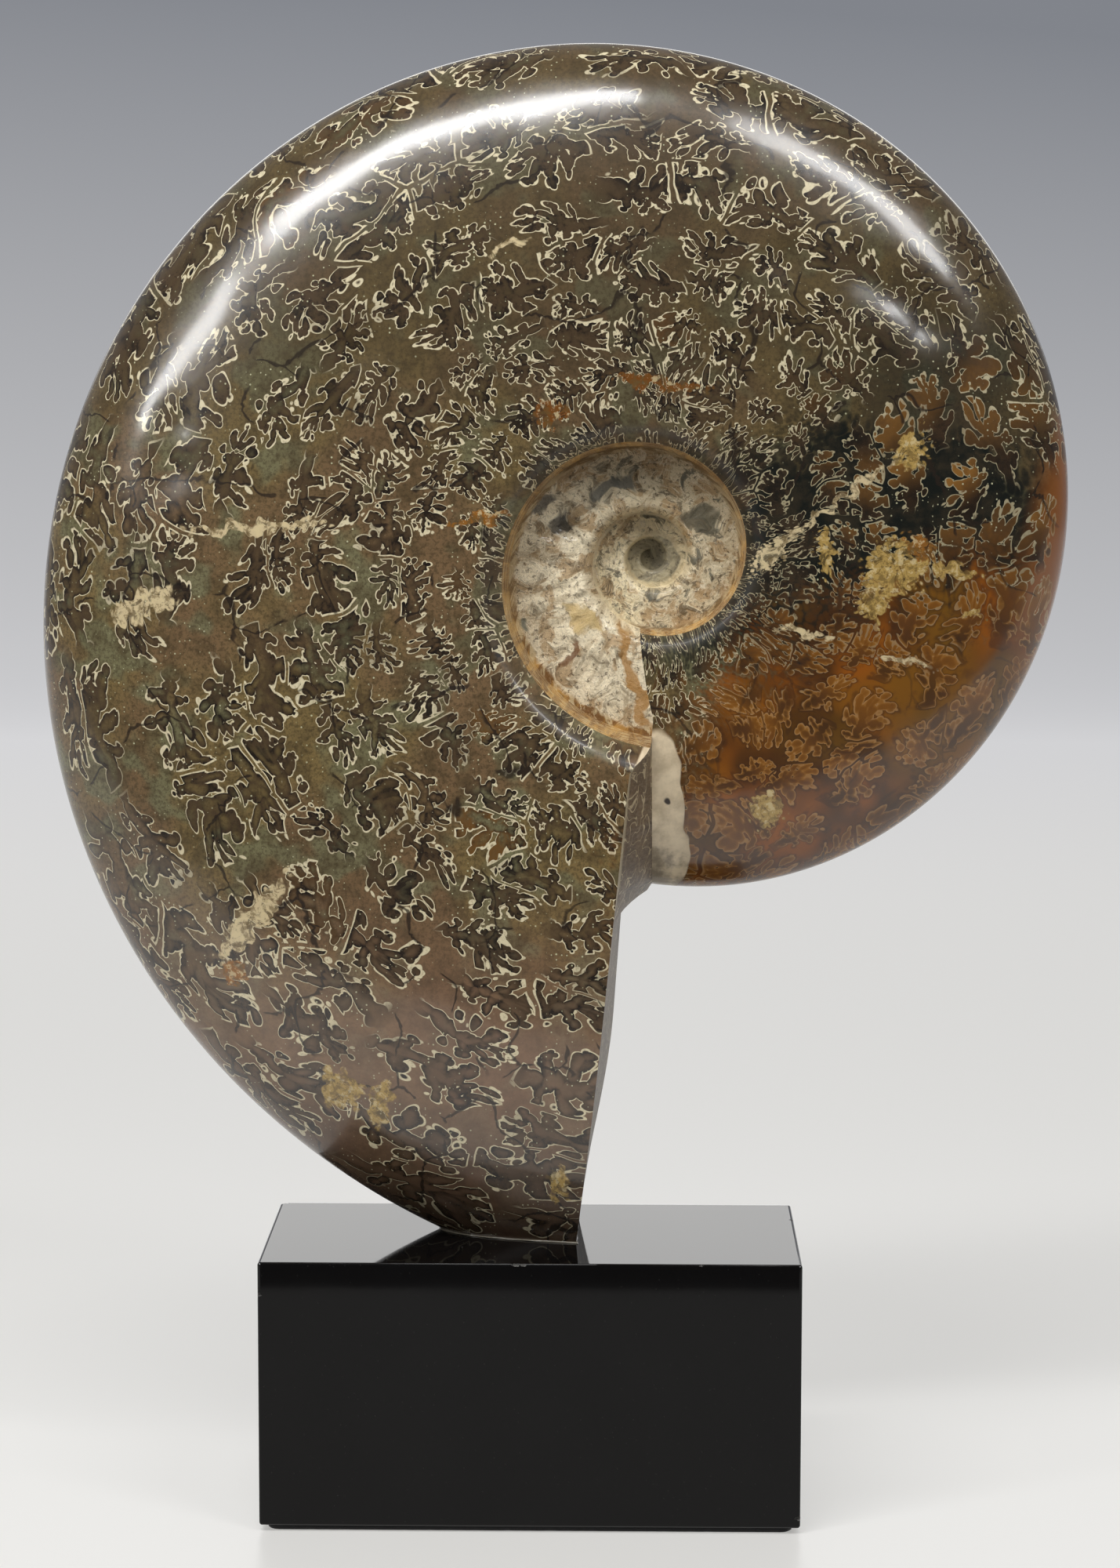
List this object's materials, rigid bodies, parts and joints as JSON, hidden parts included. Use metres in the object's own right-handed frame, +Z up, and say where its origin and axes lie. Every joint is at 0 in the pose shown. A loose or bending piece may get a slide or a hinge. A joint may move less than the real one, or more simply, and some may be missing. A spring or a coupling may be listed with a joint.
{
  "type": "polished ammonite on marble base",
  "caption": "Large polished ammonite shell standing on its ground foot, glued upright to a polished black stone block with a felt underside.",
  "frame": {"origin": "centre of the felt pad's underside, which is the face the object stands on", "axes": "+Z up; +X to the right of a viewer facing the shell's front flank, along the block's length; -Y towards that viewer"},
  "size_m": [0.1913, 0.0562, 0.2733],
  "materials": {
    "ammonite_stone": "mirror-polished calcite with cream suture lines over olive, mauve-brown and amber stone",
    "black_marble": "mirror-polished black stone",
    "felt": "thin black felt",
    "glue": "thin cured clear-white glue"
  },
  "bodies": {
    "root": {"ammonite": "ammonite_stone", "marble_block": "black_marble", "felt_pad": "felt", "glue_film": "glue"}
  },
  "joints": []
}
